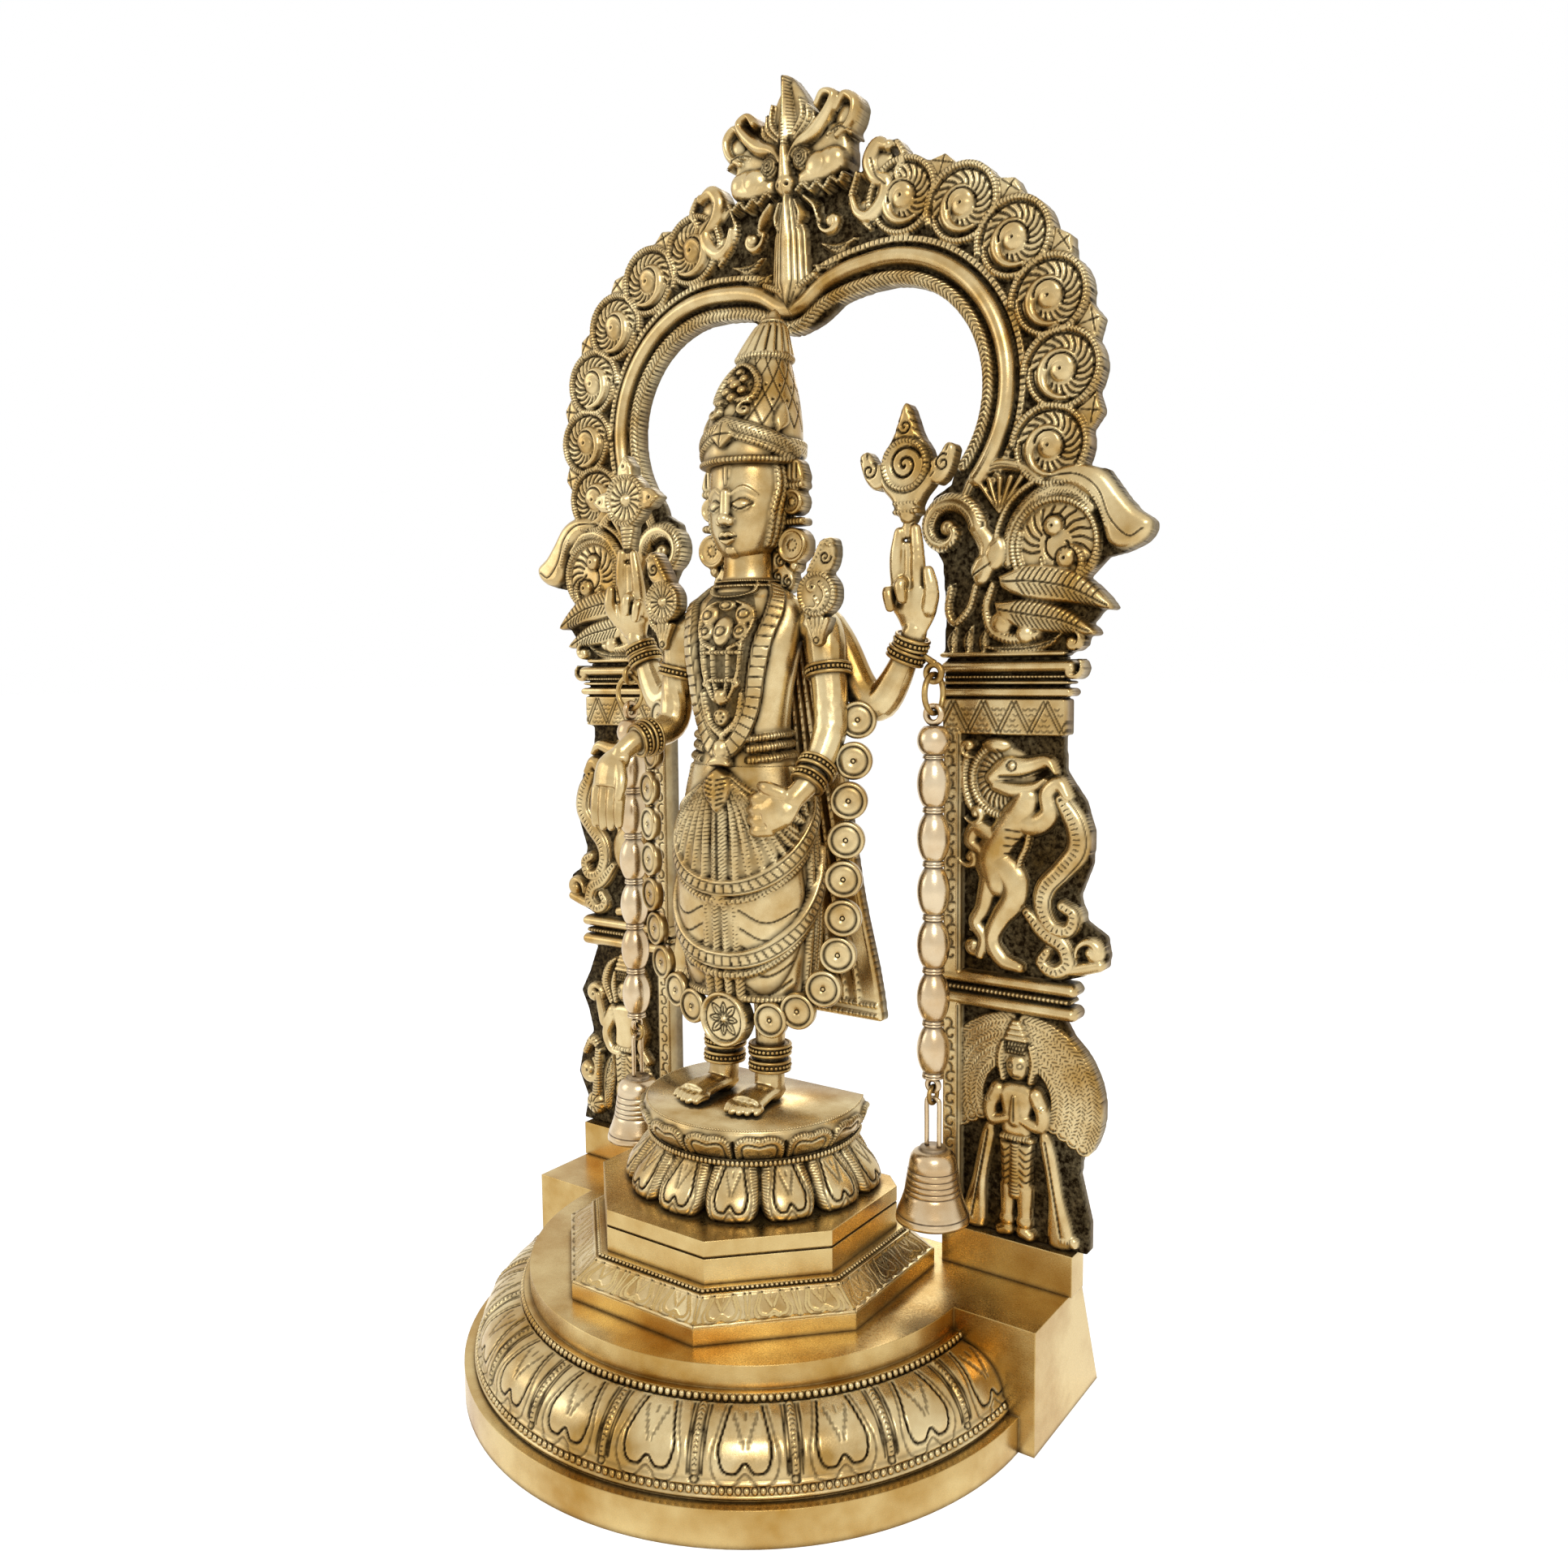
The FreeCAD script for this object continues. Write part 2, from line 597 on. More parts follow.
def make_trunk():
    """Dress, torso, head and crown, stacked face to face; returns dress and torso."""
    mid = q.round_y
    wide = q.skirt_half_width
    deep = q.skirt_half_depth
    dress = node(loft("dress", [
        (above(q.hem_height), wide - 6, deep - 4, mid - 4),
        (above(q.hem_height + 22), wide - 2, deep - 1, mid - 3),
        (above(q.hem_height + 55), wide, deep, mid - 3),
        (above(q.waist_height - 42), wide - 3, deep - 1, mid - 4),
        (above(q.waist_height - 16), q.waist_half_width + 5, q.waist_half_depth + 3, mid - 5),
        (above(q.waist_height), q.waist_half_width, q.waist_half_depth, mid - 6),
    ]), "dress_skirt")
    torso = node(loft("trunk", [
        (above(q.waist_height), q.waist_half_width, q.waist_half_depth, mid - 6),
        (above(q.waist_height + 22), q.waist_half_width + 2, q.waist_half_depth, mid - 7),
        (above(q.waist_height + 48), q.chest_half_width - 2, q.chest_half_depth, mid - 6),
        (above(q.waist_height + 64), q.chest_half_width, q.chest_half_depth - 2, mid - 3),
        (above(q.collar_height - 8), q.chest_half_width - 9, q.chest_half_depth - 5, mid - 1),
        (above(q.collar_height), q.neck_radius + 2, q.neck_radius, mid),
    ]), "torso")

    neck = post("neck", q.neck_radius, q.head_half_height, 0, mid, above(q.collar_height))
    skull = loft("skull", [
        (above(q.crown_foot) - q.head_half_height * 1.58, q.head_half_width * 0.35,
         q.head_half_depth * 0.35, mid - 2),
        (above(q.crown_foot) - q.head_half_height * 1.4, q.head_half_width * 0.66,
         q.head_half_depth * 0.72, mid),
        (above(q.crown_foot) - q.head_half_height, q.head_half_width * 0.92,
         q.head_half_depth * 0.95, mid + 2),
        (above(q.crown_foot) - q.head_half_height * 0.4, q.head_half_width,
         q.head_half_depth, mid + 4),
        (above(q.crown_foot), q.head_half_width - 1, q.head_half_depth - 1, mid + 4),
    ])
    node(fuse("head_solid", [neck, skull]), "head")

    crown = []
    for rise, share in ((0, 0.95), (0.12, 0.97), (0.28, 0.92), (0.46, 0.77), (0.62, 0.58), (0.78, 0.39),
                        (1, 0.08)):
        lean = 4 + q.crown_lean * (rise * (0.5 + 0.5 * rise))
        crown.append((above(q.crown_foot) + q.crown_height * rise, q.crown_radius * share,
                      q.crown_radius * share * 0.97, mid + lean))
    node(loft("crown_solid", crown), "crown")
    return dress, torso


def make_arms(dress, torso):
    """Four arms, cut to fit the torso and the dress."""
    mid = q.round_y
    top = above(q.collar_height - 24)
    elbow_z = above(q.waist_height + 7)
    arms = {}
    arms["front_right"] = limb("front_right_limb", [
        (q.chest_half_width + 8, mid + 2, top, q.arm_radius + 2),
        (q.chest_half_width + 17, mid - 4, elbow_z, q.arm_radius),
        (q.chest_half_width + 15, mid - 17, elbow_z - 24, q.wrist_radius),
        (q.chest_half_width + 5, mid - 33, elbow_z - 39, q.hand_radius),
        (q.chest_half_width - 11, mid - 35, elbow_z - 46, q.finger_radius),
    ])
    arms["front_left"] = limb("front_left_limb", [
        (-(q.chest_half_width + 8), mid + 2, top, q.arm_radius + 2),
        (-(q.chest_half_width + 13), mid - 2, elbow_z, q.arm_radius),
        (-(q.chest_half_width + 16), mid - 34, elbow_z - 6, q.wrist_radius),
        (-(q.chest_half_width + 24), mid - 46, elbow_z - 28, q.hand_radius),
        (-(q.chest_half_width + 21), mid - 50, elbow_z - 54, q.finger_radius),
    ])
    for side, sign in SIDES:
        arms[f"back_{side}"] = limb(f"back_{side}_limb", [
            ((q.chest_half_width + 8) * sign, mid + 13, top - 4, q.arm_radius),
            ((q.chest_half_width + 33) * sign, mid + 13, elbow_z + 10, q.arm_radius),
            ((q.chain_x - 13) * sign, mid + 15, above(q.wrist_eye_height + 12), q.wrist_radius + 2),
            ((q.chain_x - 7.5) * sign, mid + 13, above(q.wrist_eye_height + 35), q.hand_radius),
            ((q.chain_x - 9.5) * sign, mid + 9, above(q.emblem_height - 36), q.finger_radius),
        ])
    front = {}
    for side, _ in SIDES:
        label = f"front_{side}_arm"
        front[side] = node(cut(f"{label}_fitted", arms[f"front_{side}"], torso, dress), label)
    back = {}
    for side, _ in SIDES:
        label = f"back_{side}_arm"
        back[side] = node(cut(f"{label}_fitted", arms[f"back_{side}"], torso, arms[f"front_{side}"]), label)
    return front, back


def make_emblems(back):
    """The disc and the shell that stand on the raised fingers."""
    x = q.chain_x - 9.5
    y = q.round_y + 9 - q.emblem_depth / 2
    z = above(q.emblem_height)
    radius = q.emblem_radius
    wheel = disc("wheel", radius, q.emblem_depth, -x, y, z)
    flames = [
        slab(f"wheel_flame{number}", flame, q.emblem_depth, y, -x, z)
        for number, flame in enumerate([
            [(-4, radius - 2), (4, radius - 2), (0, radius + 11)],
            [(radius - 2, 4), (radius - 2, -4), (radius + 9, 4)],
            [(4 - radius, 4), (4 - radius, -4), (-radius - 7, 4)],
        ])
    ]
    stem = post("wheel_stem", q.finger_radius, 25, -x, q.round_y + 9, z - 36)
    wheel_all = fuse("wheel_solid", [wheel, *flames, stem])
    node(cut("wheel_fitted", wheel_all, back["left"]), "held_disc")
    shell = slab("shell_outline", [
        (-7, -24), (7, -24), (9, -15), (radius, -8), (radius + 11, -3), (radius + 11, 6),
        (radius - 1, 9), (6, 20), (0, 31), (-6, 20), (1 - radius, 9), (-radius - 9, 2),
        (-radius - 6, -6), (-radius, -8), (-9, -15),
    ], q.emblem_depth, y, x, z)
    shell_stem = post("shell_stem", q.finger_radius, 25, x, q.round_y + 9, z - 36)
    node(cut("shell_fitted", fuse("shell_solid", [shell, shell_stem]), back["right"]), "held_conch")


def make_ornaments(front, back, dress, torso):
    """Ear and shoulder ornaments, cloak and garland."""
    head = [thing for thing in nodes if thing.Label == "head"][0]
    for side, sign in SIDES:
        ear_x = (q.head_half_width + 4) * sign
        ear_y = q.round_y + 2
        ear_z = above(q.crown_foot) - q.ear_length * 0.8
        drop = disc(f"{side}_ear_disc", q.ear_disc_radius, q.ear_depth, ear_x, ear_y, ear_z)
        stack = box(f"{side}_ear_stack", q.ear_disc_radius * 1.2, q.ear_depth, q.ear_length * 0.8,
                    ear_x - q.ear_disc_radius * 0.6, ear_y, ear_z)
        ear = fuse(f"{side}_ear_solid", [drop, stack])
        crown = [thing for thing in nodes if thing.Label == "crown"][0]
        node(cut(f"{side}_ear_fitted", ear, head, torso, crown), f"{side}_ear_ornament")

        x = (q.chest_half_width + 14) * sign
        z = above(q.collar_height - 8)
        front_y = q.round_y - q.shoulder_disc_depth - 6.5
        round_part = disc(f"{side}_shoulder_round", q.shoulder_disc_radius, q.shoulder_disc_depth,
                          x, front_y, z)
        tuft = slab(f"{side}_shoulder_tuft", mirrored(sign, [(-5, 6), (6, 6), (9, 25), (2, 21)]),
                    q.shoulder_disc_depth, front_y, x, z)
        shoulder = fuse(f"{side}_shoulder_solid", [round_part, tuft])
        label = f"{side}_shoulder_ornament"
        node(cut(f"{label}_fitted", shoulder, front[side], back[side], torso), label)

    top_z = above(q.cloak_foot) + q.cloak_height
    cloak = slab("cloak_sheet", [
        (-q.cloak_foot_half_width, above(q.cloak_foot)),
        (q.cloak_foot_half_width, above(q.cloak_foot)),
        (q.cloak_top_half_width + 12, top_z - q.cloak_height * 0.3),
        (q.cloak_top_half_width, top_z),
        (-q.cloak_top_half_width, top_z),
        (-q.cloak_top_half_width - 12, top_z - q.cloak_height * 0.3),
    ], q.cloak_depth, q.round_y + q.cloak_y)
    node(cut("cloak_fitted", cloak, dress, torso, front["left"], front["right"], back["left"],
             back["right"]), "back_cloak")
    make_garland(front, back, dress)


def garland_spots():
    """Disc centres of the right half, from the medallion up, as (x, y, height)."""
    foot = q.hem_height - 9
    return [
        (q.medallion_radius + 10.5, -20, foot),
        (q.medallion_radius + 25, -16, foot + 6),
        (q.medallion_radius + 38.5, -12, foot + 19),
        (q.medallion_radius + 45.5, -9, foot + 37),
        (q.medallion_radius + 48.5, -9, foot + 56.5),
        (q.medallion_radius + 49, -9, foot + 76.5),
        (q.medallion_radius + 50, -8, foot + 96.5),
        (q.medallion_radius + 51, -7, foot + 116.5),
        (q.medallion_radius + 51.5, -3, foot + 136.5),
        (q.medallion_radius + 50.5, 3, foot + 157),
    ]


def make_garland(front, back, dress):
    for side, sign in SIDES:
        solids = []
        spots = garland_spots()
        for number, (x, y, height) in enumerate(spots):
            solids.append(disc(f"{side}_garland_disc{number}", q.garland_disc_radius, q.garland_depth,
                               x * sign, q.round_y + y, above(height)))
        back_line = [(x * sign, q.round_y + y + q.garland_depth, above(height), q.garland_strap / 2)
                     for x, y, height in spots]
        solids.append(limb(f"{side}_garland_strap", back_line))
        label = f"{side}_garland"
        whole = fuse(f"{label}_solid", solids)
        node(cut(f"{label}_fitted", whole, front[side], back[side], dress), label)
    medal_y = q.round_y - 26
    medal = disc("medal", q.medallion_radius, q.medallion_depth, 0, medal_y, above(q.hem_height - 11))
    halves = [thing for thing in nodes if thing.Label in ("left_garland", "right_garland")]
    node(cut("medal_fitted", medal, dress, *halves), "garland_medallion")


# -------------------------------------------------------- columns and arch
def side_x(sign, x):
    return as_size(x) * sign


def mirrored(sign, points):
    """An outline of the right side, or its mirror image for the left one."""
    return [(side_x(sign, x), z) for x, z in points]


def make_columns():
    for side, sign in SIDES:
        edge = q.footing_inner if sign > 0 else -q.footing_outer
        footing = box(f"{side}_footing_block", q.footing_outer - q.footing_inner, q.slab_depth + 2,
                      q.footing_height, edge, slab_y, deck_z)
        holes = [
            post(f"{side}_footing_hole{number}", q.bolt_radius + q.fit_gap, q.bolt_grip + q.gap,
                 x, y, deck_z)
            for number, (x, y) in enumerate(bolt_spots()) if (x.value > 0) == (sign > 0)
        ]
        node(cut(f"{side}_footing_drilled", footing, *holes), f"{side}_footing")

        inner = q.column_inner
        outer = q.column_outer
        low_band = column_z + q.low_band_drop
        upper_field = low_band + q.band_height
        necking = capital_z - q.necking_drop
        plate = slab(f"{side}_column_plate", mirrored(sign, [
            (inner, column_z), (outer + 14, column_z), (outer + 11, column_z + 30),
            (outer + 16, column_z + q.low_band_drop * 0.7), (outer + 10, low_band - 10), (outer, low_band),
            (outer, upper_field), (outer + 6, upper_field + 8), (outer + 21, upper_field + 20),
            (outer + 13, upper_field + 40), (outer + 12, upper_field + 78), (outer, necking - 6),
            (outer, capital_z), (inner, capital_z),
        ]), plate_depth, plate_y)
        overhang = q.capital_overhang
        left_edge = inner - 2 if sign > 0 else -(outer + overhang)
        width = outer - inner + overhang + 2
        pieces = [plate]
        for name, z, height in (("low_band", low_band, q.band_height),
                                ("necking", necking, q.necking_drop - q.capital_height),
                                ("capital", capital_z - q.capital_height, q.capital_height)):
            pieces.append(box(f"{side}_{name}", width, q.relief_depth, height, left_edge, slab_y, z))
        strip_edge = inner if sign > 0 else -(inner + q.border_width)
        for name, foot, top in (("low", column_z, low_band), ("high", upper_field, necking)):
            pieces.append(box(f"{side}_{name}_strip", q.border_width, q.relief_depth, top - foot,
                              strip_edge, slab_y, foot))
        node(fuse(f"{side}_column_solid", pieces), f"{side}_column")


def relief(label, sign, inner, width, foot, height, outline, depth):
    """A relief on a column, from an outline in shares of its width and height."""
    points = [(side_x(sign, inner + width * u), foot + height * v) for u, v in outline]
    node(slab(f"{label}_slab", points, depth, plate_y - depth), label)


ATTENDANTS = {
    "right": [(0.28, 0.0), (0.98, 0.0), (0.80, 0.30), (0.74, 0.44), (1.0, 0.62), (0.98, 0.80), (0.80, 0.93),
              (0.56, 1.0), (0.40, 1.0), (0.16, 0.90), (0.02, 0.72), (0.02, 0.58), (0.26, 0.42), (0.30, 0.25)],
    "left": [(0.22, 0.0), (0.96, 0.0), (0.98, 0.16), (0.78, 0.22), (0.76, 0.42), (0.96, 0.52), (0.98, 0.70),
             (0.78, 0.74), (0.70, 0.92), (0.56, 1.0), (0.40, 1.0), (0.24, 0.82), (0.04, 0.68), (0.04, 0.56),
             (0.24, 0.50), (0.26, 0.25)],
}
BEAST = [(0.12, 0.0), (0.46, 0.0), (0.48, 0.10), (0.70, 0.05), (0.96, 0.10), (1.0, 0.20), (0.80, 0.32),
         (0.92, 0.48), (0.86, 0.68), (0.70, 0.84), (0.66, 0.96), (0.40, 1.0), (0.12, 0.97), (0.02, 0.80),
         (0.16, 0.60), (0.04, 0.45), (0.06, 0.30), (0.20, 0.16)]
MAKARA = [(0.0, 0.05), (0.58, 0.0), (0.74, 0.08), (0.81, 0.27), (0.62, 0.32), (0.70, 0.46), (0.96, 0.50),
          (1.0, 0.58), (0.90, 0.66), (0.84, 0.86), (0.66, 0.97), (0.46, 0.93), (0.40, 0.88), (0.24, 0.90),
          (0.14, 0.94), (0.02, 0.80)]


def make_reliefs():
    foot = column_z + 1
    beast_foot = column_z + q.low_band_drop + q.band_height + 2
    depth = q.relief_depth - 1
    for side, sign in SIDES:
        relief(f"{side}_attendant", sign, q.attendant_inner, q.attendant_width, foot, q.attendant_height,
               ATTENDANTS[side], depth)
        relief(f"{side}_rearing_lion", sign, q.beast_inner, q.beast_width, beast_foot, q.beast_height,
               BEAST, depth)
        relief(f"{side}_makara", sign, q.makara_inner, q.makara_reach - q.makara_inner, capital_z,
               q.makara_height, MAKARA, q.relief_depth)


def arch_disc(name, sign, radius, depth, y):
    return disc(name, radius, depth, q.arch_centre_x * sign, y, arch_z)


def scroll_spots(sign):
    """Scroll centres up one side, as (x, z)."""
    spots = []
    for number in range(SCROLLS_PER_SIDE):
        angle = math.radians(q.scroll_first.value + q.scroll_step.value * number)
        x = q.arch_centre_x + q.scroll_mid_radius * math.cos(angle)
        spots.append((x * sign, arch_z + q.scroll_mid_radius * math.sin(angle)))
    return spots


def make_arch():
    foot_rise = capital_z + q.makara_height * 0.9
    clear_width = q.makara_inner * 2
    plates = []
    openings = []
    for side, sign in SIDES:
        plates.append(arch_disc(f"{side}_arch_round", sign, q.scroll_mid_radius + 8, plate_depth, plate_y))
        openings.append(arch_disc(f"{side}_arch_opening", sign, q.opening_radius, plate_depth * 3,
                                  plate_y - plate_depth))
        for number, (x, z) in enumerate(scroll_spots(sign)):
            plates.append(disc(f"{side}_scallop{number}", q.scroll_radius, plate_depth, x, plate_y, z))
    crest_foot = arch_z + q.cusp_rise
    crest_top = arch_z + q.mask_foot_rise + q.mask_height
    plates.append(slab("crest_plate", [
        (-20, crest_foot), (20, crest_foot), (q.mask_half_width, arch_z + q.mask_foot_rise),
        (q.mask_half_width - 4, crest_top), (10, crest_top + 8), (0, crest_top + q.finial_height),
        (-10, crest_top + 8), (4 - q.mask_half_width, crest_top),
        (-q.mask_half_width, arch_z + q.mask_foot_rise),
    ], plate_depth, plate_y))
    solid = fuse("arch_blank", plates)
    doorway = box("arch_doorway", clear_width, plate_depth * 3, foot_rise - capital_z + 200, -q.makara_inner,
                  plate_y - plate_depth, foot_rise - 200)
    throat = box("arch_throat", q.cusp_half_width * 2, plate_depth * 3, q.cusp_rise, -q.cusp_half_width,
                 plate_y - plate_depth, arch_z)
    skirt = box("arch_trim", q.makara_reach * 4, plate_depth * 3, 200, -q.makara_reach * 2,
                plate_y - plate_depth, foot_rise - 200)
    trimmed = cut("arch_trimmed", solid, fuse("arch_cutters", openings + [throat, doorway, skirt]))
    backs = []
    for side, sign in SIDES:
        width = q.makara_reach - q.makara_inner
        points = [(side_x(sign, q.makara_inner + width * u), capital_z + q.makara_height * v)
                  for u, v in MAKARA]
        backs.append(slab(f"{side}_makara_back", points, plate_depth, plate_y))
    node(fuse("arch_solid", [trimmed, *backs]), "arch_frame")


def half_arch_ring(name, sign, inner_radius, outer_radius, depth, y, lowest):
    """A flat ring round one arch centre, kept on its own side and above lowest."""
    whole = arch_disc(f"{name}_outer", sign, outer_radius, depth, y)
    hole = arch_disc(f"{name}_inner", sign, inner_radius, depth * 3, y - depth)
    far = q.makara_reach * 2
    over = box(f"{name}_over", far, depth * 3, q.arch_centre_rise * 2, -far if sign > 0 else 0,
               y - depth, capital_z)
    under = box(f"{name}_under", far * 2, depth * 3, 400, -far, y - depth, lowest - 400)
    return cut(f"{name}_cut", whole, hole, over, under)


def make_mouldings():
    """Rope, tube and scroll row on the front of the arch plate."""
    for side, sign in SIDES:
        foot = capital_z + q.makara_height
        rope_outer = q.opening_radius + q.rope_width
        rope = half_arch_ring(f"{side}_rope", sign, q.opening_radius, rope_outer, q.relief_depth * 0.7,
                              plate_y - q.relief_depth * 0.7, foot)
        throat = box(f"{side}_rope_throat", q.cusp_half_width, q.slab_depth * 3, q.cusp_rise,
                     -q.cusp_half_width if sign < 0 else 0, slab_y - q.slab_depth, arch_z)
        inside = box(f"{side}_inside", q.arch_centre_x, q.slab_depth * 3, q.arch_centre_rise,
                     -q.arch_centre_x if sign < 0 else 0, slab_y - q.slab_depth, capital_z)
        node(cut(f"{side}_rope_fitted", rope, throat, inside), f"{side}_arch_rope")
        tube = half_arch_ring(f"{side}_tube", sign, q.tube_mid_radius - q.tube_radius,
                              q.tube_mid_radius + q.tube_radius, q.relief_depth, slab_y, foot)
        tongue_gap = box(f"{side}_tube_gap", q.tongue_half_width, q.slab_depth * 3, q.cusp_rise * 3,
                         -q.tongue_half_width if sign < 0 else 0, slab_y - q.slab_depth, arch_z)
        node(cut(f"{side}_tube_fitted", tube, tongue_gap, inside), f"{side}_arch_tube")
        row = []
        for number, (x, z) in enumerate(scroll_spots(sign)):
            row.append(disc(f"{side}_scroll{number}", q.scroll_radius - 0.4, q.relief_depth, x, slab_y, z))
        beads = arch_disc(f"{side}_scroll_inside", sign, q.bead_ring_radius, q.slab_depth * 3,
                           slab_y - q.slab_depth)
        chin_foot = arch_z + q.bead_ring_radius
        mask_clear = box(f"{side}_mask_clear", q.mask_half_width + 3, q.slab_depth * 4, 200,
                         -(q.mask_half_width + 3) if sign < 0 else 0, slab_y - q.slab_depth * 2, chin_foot)
        tail_clear = box(f"{side}_tail_clear", q.makara_reach * 2, q.slab_depth * 4, 200,
                         -q.makara_reach * 2 if sign < 0 else 0, slab_y - q.slab_depth * 2, foot - 200)
        node(cut(f"{side}_scroll_fitted", fuse(f"{side}_scrolls", row), beads, mask_clear, tail_clear),
             f"{side}_scroll_row")


def make_mask():
    chin = arch_z + q.mask_foot_rise
    brow = chin + q.mask_height
    half = q.mask_half_width
    depth = q.relief_depth + q.mask_proud
    node(slab("mask_slab", [
        (-half * 0.35, chin - 8), (half * 0.35, chin - 8), (half * 0.9, chin),
        (half, chin + q.mask_height * 0.6),
        (half * 0.85, brow), (half * 0.3, brow + 6), (0, brow + q.finial_height), (-half * 0.3, brow + 6),
        (-half * 0.85, brow), (-half, chin + q.mask_height * 0.6), (-half * 0.9, chin),
    ], depth, plate_y - depth), "lion_mask")
    top = chin - 8
    foot = top - q.tongue_length + 8
    wide = q.tongue_half_width - 0.4
    node(slab("tongue_slab", [
        (-wide * 0.3, top), (-wide, foot + 10), (-wide * 0.5, foot), (wide * 0.5, foot),
        (wide, foot + 10), (wide * 0.3, top),
    ], depth, plate_y - depth), "mask_tongue")


# -------------------------------------------------------------- bell chains
def make_chain(side, sign, back_arm):
    """Eye, ring, turned rod, link, bell and clapper under one wrist."""
    x = q.chain_x * sign
    y = q.round_y + q.chain_y
    ring_faces = "front" if side == "left" else "side"
    eye_faces = "side" if side == "left" else "front"
    loop_turn = 90.0 if eye_faces == "side" else 0.0

    eye_z = above(q.wrist_eye_height)
    eye = ring(f"{side}_eye_ring", q.eye_mid_radius, q.eye_wire, x, y, eye_z, eye_faces)
    lug = limb(f"{side}_eye_lug", [
        (x, y, eye_z + q.eye_mid_radius + 0.8, q.eye_wire),
        (x - sign * 10, y - 1, eye_z + q.eye_mid_radius + 7, q.eye_wire),
    ])
    node(cut(f"{side}_eye_fitted", fuse(f"{side}_eye_solid", [eye, lug]), back_arm), f"{side}_wrist_eye")

    ring_top = eye_z - q.eye_mid_radius + q.eye_wire + q.ring_wire + q.gap
    ring_z = ring_top - q.ring_mid_radius
    node(ring(f"{side}_ring", q.ring_mid_radius, q.ring_wire, x, y, ring_z, ring_faces), f"{side}_top_ring")

    rod_eye_top = ring_z - q.ring_mid_radius + q.ring_wire + q.eye_wire + q.gap
    rod_eye_z = rod_eye_top - q.eye_mid_radius
    rod_top = rod_eye_z - q.eye_mid_radius - q.eye_wire + 0.6
    rod_length = q.first_bulb_height + q.bulb_height * BULBS_PER_ROD
    rod_foot = rod_top - rod_length
    foot_eye_z = rod_foot - q.small_eye_mid_radius - q.small_wire + 0.5
    turned_rod = turned(f"{side}_rod_turned", rod_profile(rod_length), x, y, rod_foot)
    top_eye = ring(f"{side}_rod_eye", q.eye_mid_radius, q.eye_wire, x, y, rod_eye_z, eye_faces)
    foot_eye = ring(f"{side}_rod_foot_eye", q.small_eye_mid_radius, q.small_wire, x, y, foot_eye_z,
                    eye_faces)
    node(fuse(f"{side}_rod_solid", [turned_rod, top_eye, foot_eye]), f"{side}_bell_rod")

    link_top = foot_eye_z - q.small_eye_mid_radius + q.small_wire * 2 + q.gap
    link_z = link_top - q.link_mid_radius
    node(ring(f"{side}_link", q.link_mid_radius, q.small_wire, x, y, link_z, ring_faces),
         f"{side}_lower_link")

    loop_top = link_z - q.link_mid_radius + q.small_wire + q.gap + q.loop_bar
    bell_top = loop_top - q.loop_height
    make_bell(side, x, y, bell_top, eye_faces, loop_turn)
    for name, z in (("ring hinge", eye_z - q.eye_mid_radius), ("rod hinge", ring_z - q.ring_mid_radius),
                    ("link hinge", foot_eye_z - q.small_eye_mid_radius),
                    ("bell hinge", link_z - q.link_mid_radius),
                    ("clapper hinge", bell_top - q.staple_drop), ("bell mouth", bell_top - q.bell_height)):
        print(f"{side} {name}: x {x.value:.2f} y {y.value:.2f} z {z.value:.2f}")


def rod_profile(length):
    """Outline of the turned rod from its foot: bulbs with beaded collars between."""
    points = [(0, 0)]
    for number in range(BULBS_PER_ROD + 1):
        foot = q.bulb_height * number
        tall = q.bulb_height if number < BULBS_PER_ROD else q.first_bulb_height
        collar = tall * 0.12
        points += [
            (q.rod_collar, foot + 0.01),
            (q.rod_collar, foot + collar),
            (q.rod_neck, foot + collar),
            (q.rod_radius * 0.86, foot + tall * 0.3),
            (q.rod_radius, foot + tall * 0.55),
            (q.rod_radius * 0.86, foot + tall * 0.8),
            (q.rod_neck, foot + tall * 0.98),
        ]
    points[1] = (q.rod_collar, 0)
    points.append((0, length - q.first_bulb_height * 0.02))
    return points


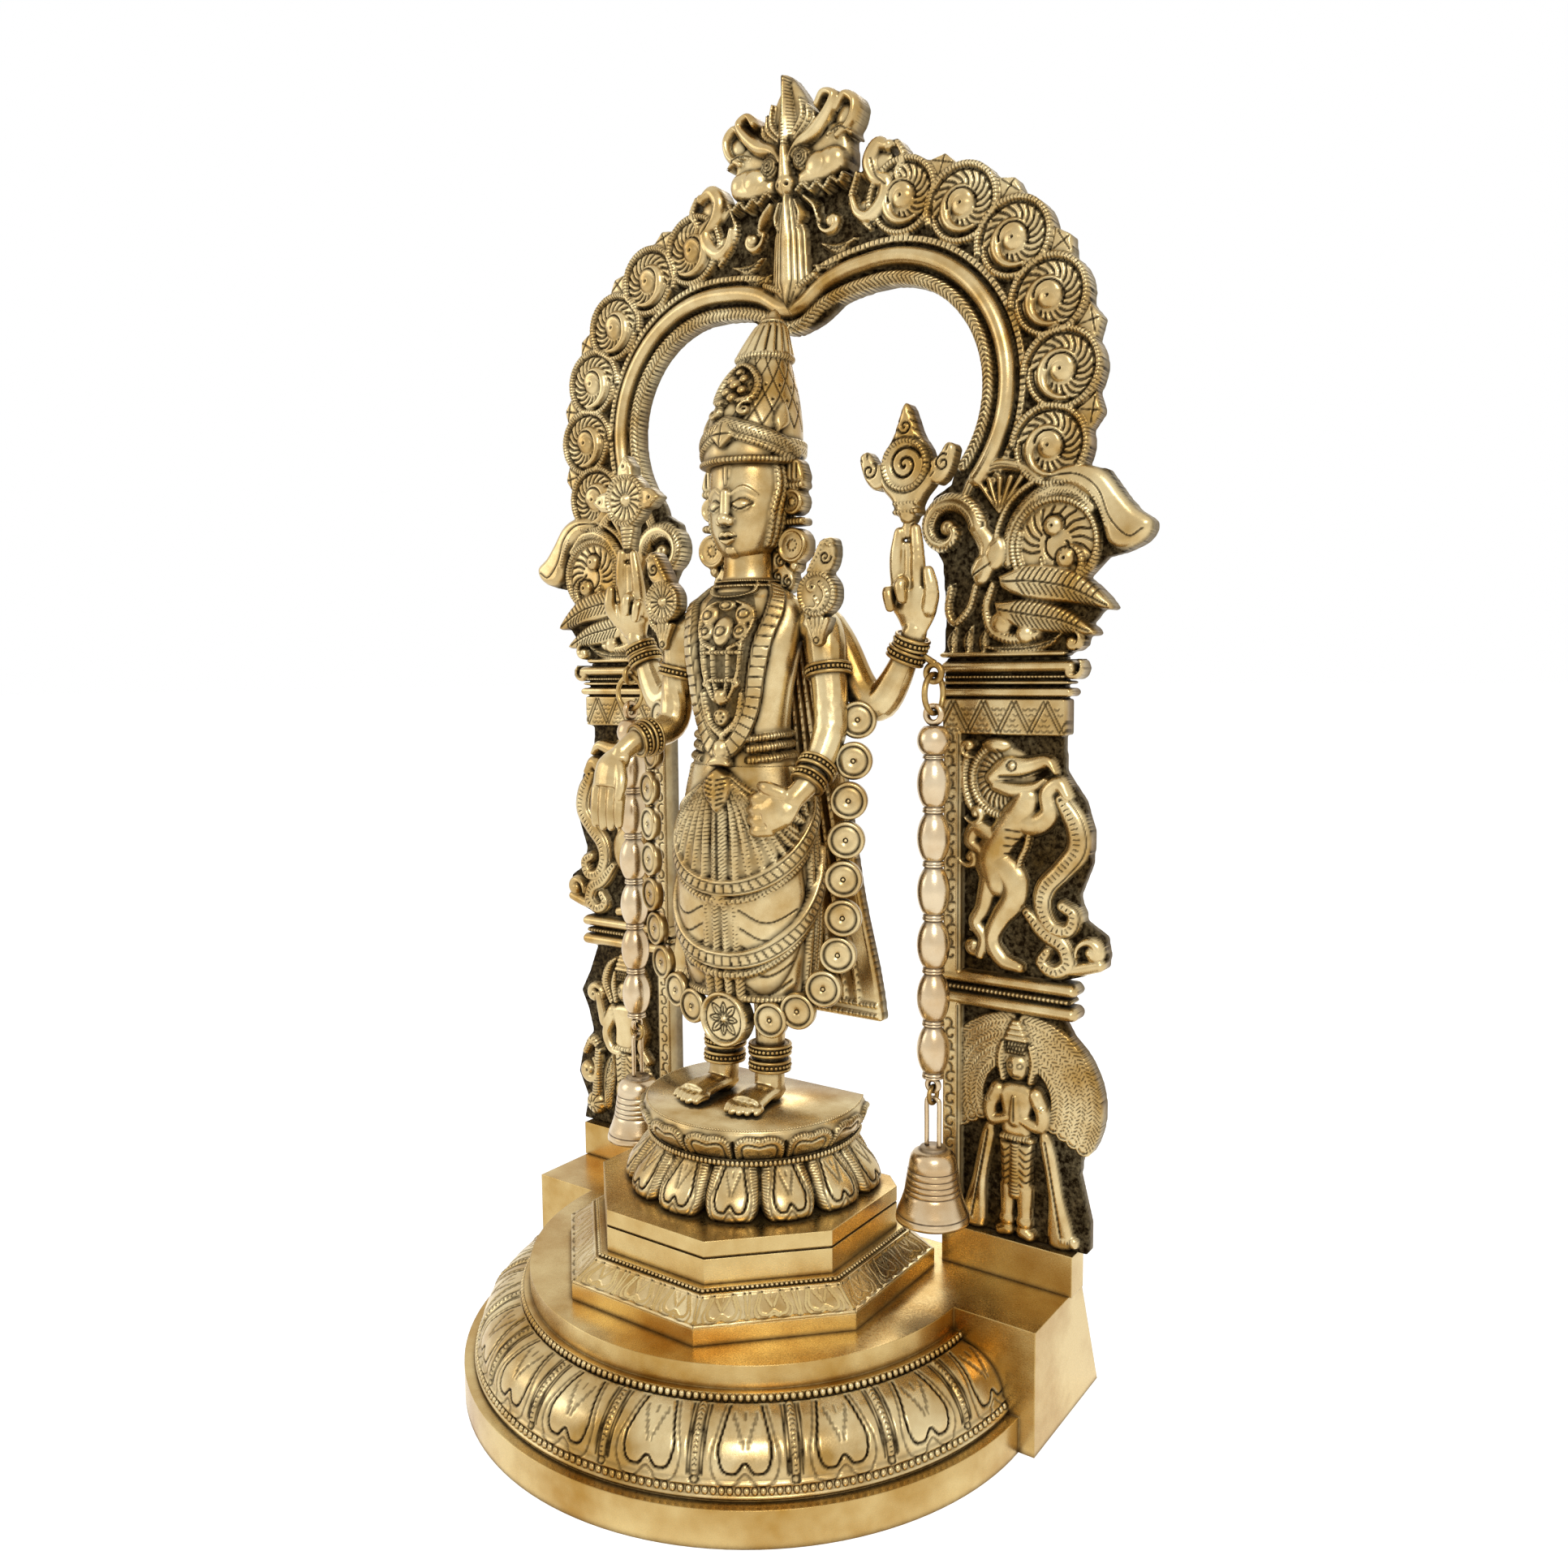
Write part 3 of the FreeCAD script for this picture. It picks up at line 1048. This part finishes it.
def make_bell(side, x, y, top, eye_faces, loop_turn):
    mouth = top - q.bell_height
    radius = q.bell_radius
    tall = q.bell_height
    wall = q.bell_wall
    shell = turned(f"{side}_bell_shell", [
        (0, tall),
        (radius * 0.34, tall),
        (radius * 0.48, tall * 0.95),
        (radius * 0.60, tall * 0.84),
        (radius * 0.68, tall * 0.62),
        (radius * 0.76, tall * 0.40),
        (radius * 0.97, tall * 0.12),
        (radius, tall * 0.05),
        (radius * 0.95, 0),
        (radius * 0.95 - wall * 0.6, 0),
        (radius * 0.76 - wall, tall * 0.38),
        (radius * 0.60 - wall, tall * 0.82),
        (radius * 0.44 - wall * 0.5, tall - wall),
        (0, tall - wall),
    ], x, y, mouth)
    bar_length = radius * 1.2 - wall
    bar = doc.addObject("Part::Cylinder", f"{side}_staple")
    bind(bar, Radius=q.staple_radius, Height=bar_length)
    if eye_faces == "side":
        place(bar, x - bar_length / 2, y, top - q.staple_drop, axis=(0, 1, 0), angle=90)
    else:
        place(bar, x, y - bar_length / 2, top - q.staple_drop, axis=(1, 0, 0), angle=-90)
    half = q.loop_width / 2
    inner = half - q.loop_bar
    rise = q.loop_height
    corner = q.loop_bar
    loop = slab(f"{side}_loop", [
        (-half, -0.5), (-half, rise - corner), (corner - half, rise), (half - corner, rise),
        (half, rise - corner), (half, -0.5), (inner, -0.5), (inner, rise - corner), (-inner, rise - corner),
        (-inner, -0.5),
    ], q.loop_bar, -q.loop_bar / 2 + y if loop_turn == 0 else y, x if loop_turn == 0 else x + q.loop_bar / 2,
        top, turn=loop_turn)
    node(fuse(f"{side}_bell_solid", [shell, bar, loop]), f"{side}_bell")

    bar_z = top - q.staple_drop
    eye_z = bar_z + q.staple_radius + q.clapper_wire + q.gap - q.clapper_eye_mid
    eye = ring(f"{side}_clapper_eye", q.clapper_eye_mid, q.clapper_wire, x, y, eye_z, eye_faces)
    ball_z = bar_z - q.clapper_length
    stem_top = eye_z - q.clapper_eye_mid
    ball = q.clapper_ball
    tongue = turned(f"{side}_clapper_tongue", [
        (0, -ball),
        (ball * 0.6, ball * -0.8),
        (ball, 0),
        (ball * 0.6, ball * 0.8),
        (q.clapper_stem, ball * 1.05),
        (q.clapper_stem, stem_top - ball_z),
        (0, stem_top - ball_z),
    ], x, y, ball_z)
    node(fuse(f"{side}_clapper_solid", [eye, tongue]), f"{side}_clapper")


# --------------------------------------------------------------- fasteners
def make_bolts():
    under = deck_z - q.plinth_wall
    shafts = []
    for number, (x, y) in enumerate(bolt_spots()):
        shaft = post(f"footing_shank{number}", q.bolt_radius, q.plinth_wall + q.bolt_grip, x, y, under)
        head = hexagon(f"footing_head{number}", q.bolt_head_radius, q.bolt_head_height, x, y,
                       under - q.bolt_head_height)
        shafts.append(fuse(f"footing_bolt{number}", [shaft, head]))
    group = doc.addObject("Part::Compound", "footing_bolt_group")
    group.Links = shafts
    node(group, "footing_bolts")
    shank = post("pedestal_shank", q.pedestal_bolt_radius, q.plinth_wall + q.pedestal_bolt_grip,
                 0, q.round_y, under)
    head = hexagon("pedestal_head", q.bolt_head_radius * 1.4, q.bolt_head_height, 0, q.round_y,
                   under - q.bolt_head_height)
    node(fuse("pedestal_bolt_solid", [shank, head]), "pedestal_bolt")


def check_and_write():
    doc.recompute()
    for thing in doc.Objects:
        if "Invalid" in thing.State or "Error" in thing.State:
            raise RuntimeError(f"{thing.Name} failed: {thing.State}")
    for thing in nodes:
        shape = thing.Shape
        if shape.isNull() or not shape.isValid() or not shape.Solids:
            raise RuntimeError(f"{thing.Label} has no valid solid")
    os.makedirs("parts", exist_ok=True)
    for thing in nodes:
        thing.Shape.exportStep(f"parts/{thing.Label}.step")
        size = thing.Shape.BoundBox
        print(f"{thing.Label}: {len(thing.Shape.Solids)} solid, {size.XLength:.1f} x {size.YLength:.1f} x "
              f"{size.ZLength:.1f} mm")


make_plinth()
make_pedestal()
make_legs()
dress, torso = make_trunk()
doc.recompute()
front_arms, back_arms = make_arms(dress, torso)
make_emblems(back_arms)
make_ornaments(front_arms, back_arms, dress, torso)
make_columns()
make_reliefs()
make_arch()
make_mouldings()
make_mask()
for side_name, side_sign in SIDES:
    make_chain(side_name, side_sign, back_arms[side_name])
make_bolts()
check_and_write()
